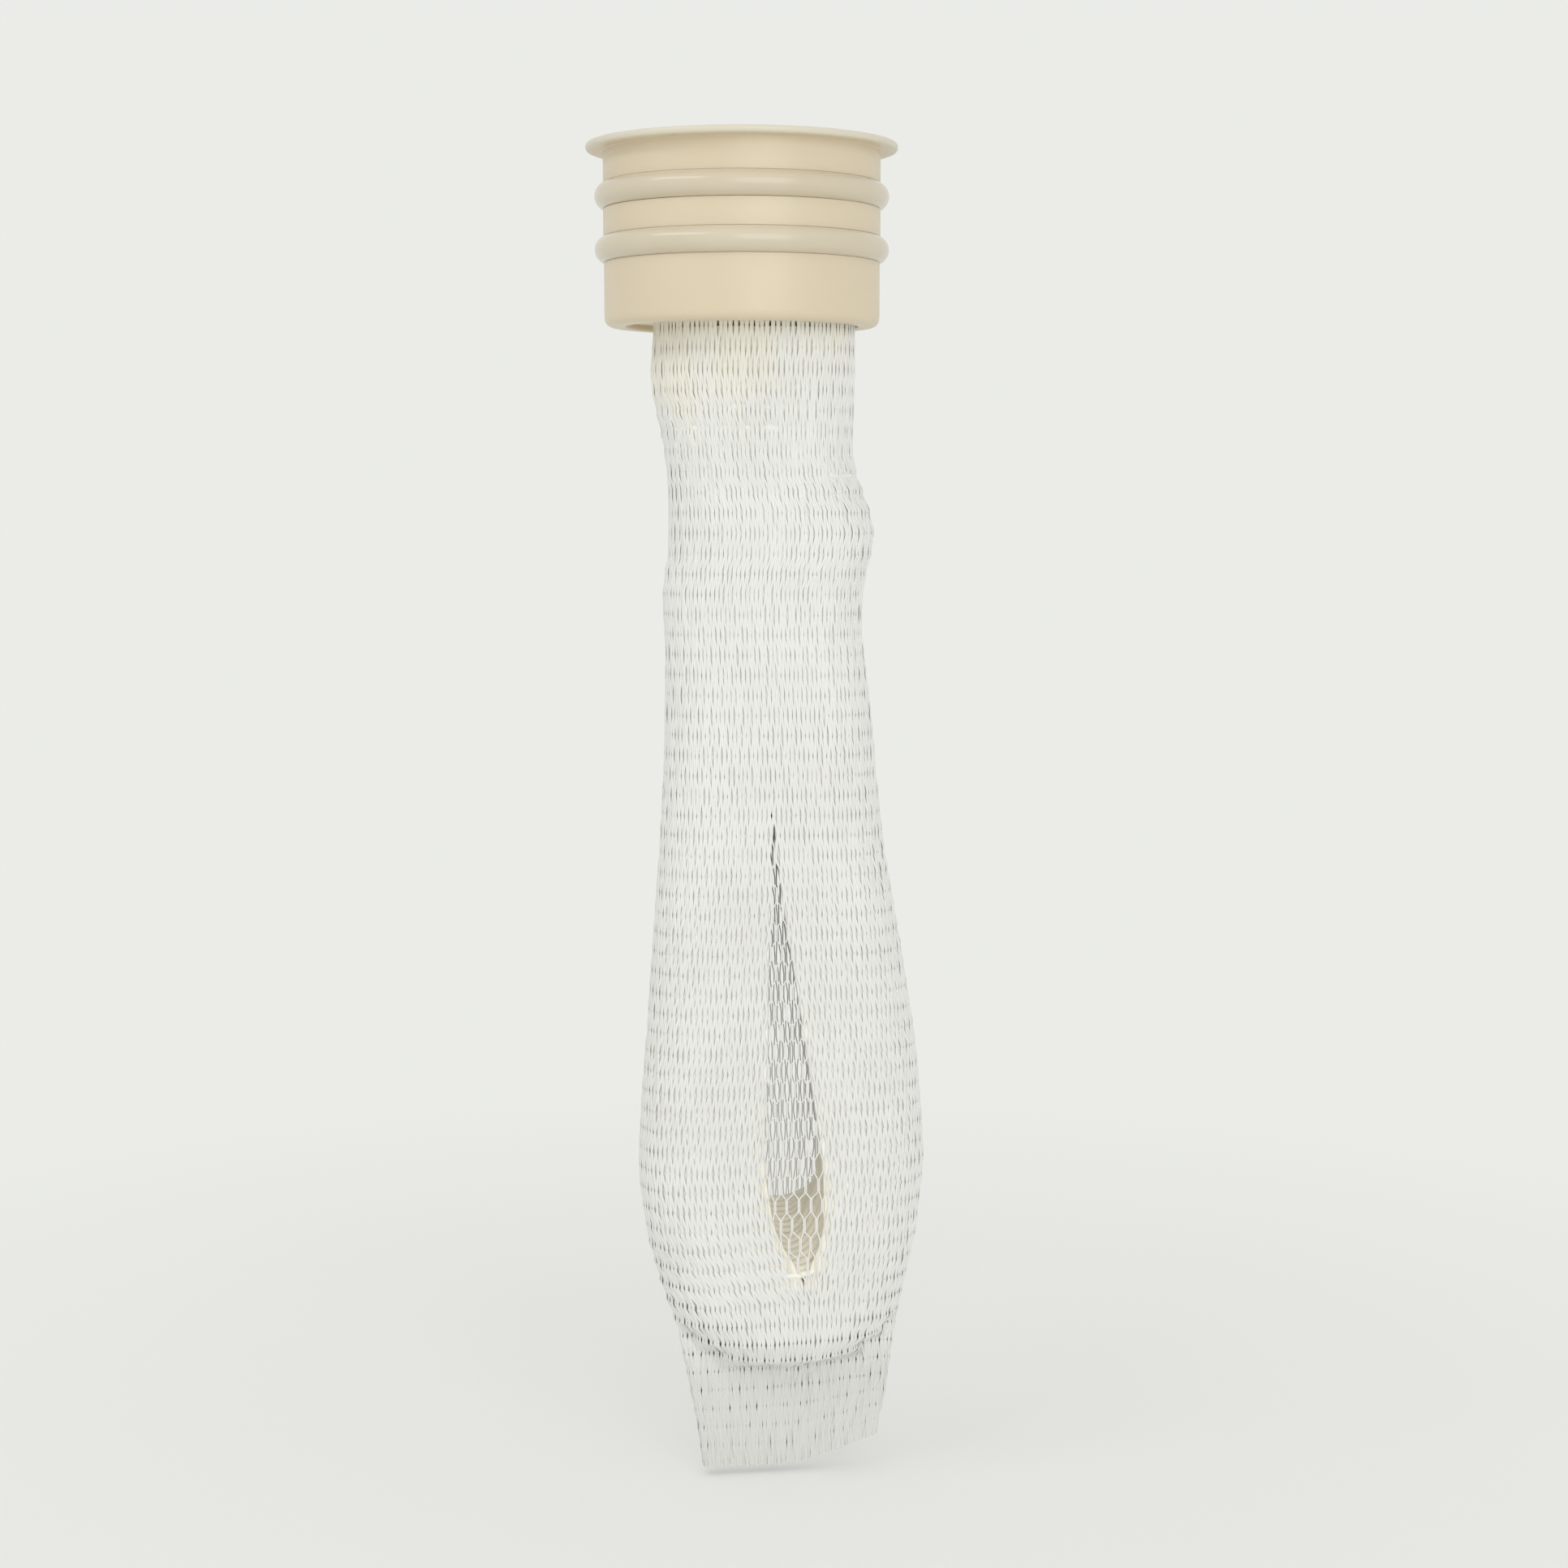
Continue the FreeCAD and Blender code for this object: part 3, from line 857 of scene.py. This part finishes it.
def netTree():
    # pairs each thread with one neighbour in a row and with the other in the next, and makes a tube along it
    tree, given = startTree("netTree", [
        ("Stations Per Row", "Int"), ("Yarn Radius", "Float"), ("Flat", "Float"), ("Sides", "Int"),
        ("Loose", "Float"), ("Seed", "Int"), ("Material", "Material")])
    spot = addNode(tree, "GeometryNodeInputPosition").outputs[0]
    thread, station = attribute(tree, "thread", "INT"), attribute(tree, "station", "INT")
    other = attribute(tree, "partner", "FLOAT_VECTOR")
    middle = vectorNode(tree, "SCALE", vectorNode(tree, "ADD", spot, other), scale=0.5)
    aside = vectorNode(tree, "NORMALIZE", vectorNode(tree, "SUBTRACT", spot, other))
    paired = vectorNode(tree, "ADD", middle, vectorNode(tree, "SCALE", aside, scale=given["Yarn Radius"]))
    row = mathNode(tree, "FLOOR", mathNode(tree, "DIVIDE", station, given["Stations Per Row"]))
    pair = mathNode(tree, "FLOOR", mathNode(tree, "MULTIPLY", mathNode(tree, "ADD", thread, row), 0.5))
    # both threads of a pair drift together
    key = addNode(tree, "ShaderNodeCombineXYZ", [("X", pair), ("Y", row)])
    drift = addNode(tree, "ShaderNodeTexWhiteNoise", [("Vector", key.outputs[0]), ("W", given["Seed"])],
                    noise_dimensions="4D")
    shift = vectorNode(tree, "SUBTRACT", drift.outputs["Color"], (0.5, 0.5, 0.5))
    moved = vectorNode(tree, "ADD", paired, vectorNode(tree, "SCALE", shift, scale=given["Loose"]))
    settled = addNode(tree, "GeometryNodeSetPosition", [("Geometry", given["Geometry"]), ("Position", moved)])
    curves = addNode(tree, "GeometryNodeMeshToCurve", [("Mesh", settled.outputs[0])])
    facing = addNode(tree, "GeometryNodeSetCurveNormal", [
        ("Curve", curves.outputs[0]), ("Normal", attribute(tree, "outward", "FLOAT_VECTOR"))], mode="FREE")
    profile = addNode(tree, "GeometryNodeCurvePrimitiveCircle", [
        ("Resolution", given["Sides"]), ("Radius", given["Yarn Radius"])])
    # the yarn lies flat against what it holds: thinner along the profile's own x
    thin = addNode(tree, "ShaderNodeCombineXYZ", [("X", given["Flat"]), ("Y", 1.0), ("Z", 1.0)])
    oval = addNode(tree, "GeometryNodeTransform", [
        ("Geometry", profile.outputs[0]), ("Scale", thin.outputs[0])])
    body = addNode(tree, "GeometryNodeCurveToMesh", [
        ("Curve", facing.outputs[0]), ("Profile Curve", oval.outputs[0]),
        ("Scale", attribute(tree, "bulk", "FLOAT")), ("Fill Caps", True)])
    endTree(tree, body.outputs[0], given["Material"])
    return tree


def makeNet():
    grid, bulk = threadPoints()
    stations, threads = grid.shape[:2]
    row = np.arange(stations) // net["perRow"]
    tree = netTree()
    share = threads // net["pieces"]
    made = []
    for piece in range(net["pieces"]):
        own = np.arange(piece * share, (piece + 1) * share)
        verts, edges, partner, outward, threadOf, stationOf = [], [], [], [], [], []
        for thread in own:
            base = len(verts)
            side = np.where((thread + row) % 2 == 0, 1, -1)
            verts += [tuple(p * mm) for p in grid[:, thread]]
            partner += [grid[k, (thread + side[k]) % threads] * mm for k in range(stations)]
            across = grid[:, (thread + 1) % threads] - grid[:, (thread - 1) % threads]
            across /= np.linalg.norm(across[:, :2], axis=1)[:, None]
            outward += [(p[1], -p[0], 0) for p in across]
            threadOf += [thread] * stations
            stationOf += list(range(stations))
            edges += [(base + k, base + k + 1) for k in range(stations - 1)]
        host = meshObject("netSleeve%d" % (piece + 1), verts, edges, [])
        for name, kind, field, values in (
                ("thread", "INT", "value", threadOf),
                ("station", "INT", "value", stationOf),
                ("partner", "FLOAT_VECTOR", "vector", np.array(partner).ravel()),
                ("outward", "FLOAT_VECTOR", "vector", np.array(outward).ravel()),
                ("bulk", "FLOAT", "value", bulk[:, own].T.ravel())):
            host.data.attributes.new(name, kind, "POINT").data.foreach_set(field, values)
        made.append(grow(host, tree, {
            "Stations Per Row": net["perRow"], "Yarn Radius": net["yarn"] / 2 * mm, "Flat": net["flat"],
            "Sides": net["sides"], "Loose": net["loose"] * mm, "Seed": net["seed"], "Material": netYarn}))
    place(made[0], "net_yarn", "net_sleeve")
    for cloth in made[1:]:
        place(cloth, "net_yarn")
    print("net made:", sum(len(cloth.data.polygons) for cloth in made), "faces")


makeNet()


# the bundle's outermost, finest fibres, pressed against the net and parted round the gap
outerFibres = dict(count=224, od=0.78, inset=0.53, sides=6, spacing=3.5, wander=0.04, seed=40, fewest=4,
                   # they part below partZ, and close again from closeZ + closeOver down to closeZ
                   partZ=-114.0, closeZ=-200, closeOver=8, seam=0.05, backOpen=1.5,
                   # round the bend they lie deeper, and stop short of where the net's two sides meet
                   tuck=1.0, tuckFrom=3, tuckOver=4, tuckFall=6, stopShort=0.3)


def outerRoutes():
    o, bend = outerFibres, net["bend"]
    perLeg = o["count"] // 2
    routes = [[] for fibre in range(o["count"])]
    done = np.zeros(o["count"], bool)
    rowHeight = (net["topZ"] - net["endZ"]) / net["rows"]
    for row in range(1, net["rows"]):
        z = net["topZ"] - (row + 0.5) * rowHeight
        loop = sleeveLoop(z)
        points, u, v = loop["points"], loop["u"], loop["v"]
        run = np.roll(points, -1, 0) - np.roll(points, 1, 0)
        run /= np.linalg.norm(run, axis=1)[:, None]
        deeper = np.clip((bendReach(u, z) - o["tuckFrom"]) / o["tuckOver"], 0, 1) ** 2
        tuck = o["tuck"] * deeper * min(max((bend["z"] - z) / o["tuckFall"], 0), 1)
        closed = closedUp(points + np.stack([-run[:, 1], run[:, 0]], 1) * (o["inset"] + tuck)[:, None])
        plain = closedUp(np.stack([u, loop["full"]], 1))
        travelled = np.concatenate([[0], np.cumsum(np.linalg.norm(np.diff(plain, axis=0), axis=1))])
        girth = travelled[-1]
        half, middle = o["seam"], along(net["gapU"], z)
        if z < o["partZ"]:
            closing = min(max((z - o["closeZ"]) / o["closeOver"], 0), 1)
            half = max(along(net["gapHalf"], z) * closing, o["seam"])
        # the right leg keeps clear of the gap as it is seen from the front
        clear = 0
        if half > o["seam"]:
            clear = 2 * along(net["depth"], z) * math.tan(math.radians(along(net["turn"], z)))
        front, back = np.where(v < 0)[0], np.where(v > 0)[0][::-1]
        legs = []
        for side in (1, -1):
            ahead = np.interp(middle + side * half, u[front], travelled[front])
            parted = middle + max(side * clear, 0) + side * half * o["backOpen"]
            behind = np.interp(parted, u[back], travelled[back])
            start, end = (ahead, behind + girth) if side == 1 else (behind, ahead)
            legs.append(start + (np.arange(perLeg) + 0.5) / perLeg * (end - start))
        spot = np.concatenate(legs) % girth
        xs, ys = np.interp(spot, travelled, closed[:, 0]), np.interp(spot, travelled, closed[:, 1])
        across = np.interp(spot, travelled, closedUp(u))
        if z < bend["z"]:
            done |= bendReach(across, z) > bend["thick"] - o["stopShort"]
        for fibre in np.where(~done)[0]:
            routes[fibre].append((xs[fibre], ys[fibre], z))
    return [route for route in routes if len(route) >= o["fewest"]]


def makeOuterFibres():
    o = outerFibres
    outer = tubesAlong("outerFibres", outerRoutes(), o["od"], o, o["seed"])
    place(outer, "fibre")
    print("outer fibres made:", len(outer.data.polygons), "faces")


makeOuterFibres()


# the resin is the CAD's own piece
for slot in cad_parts["potting_resin"].material_slots:
    slot.material = castResin
print("resin dressed")
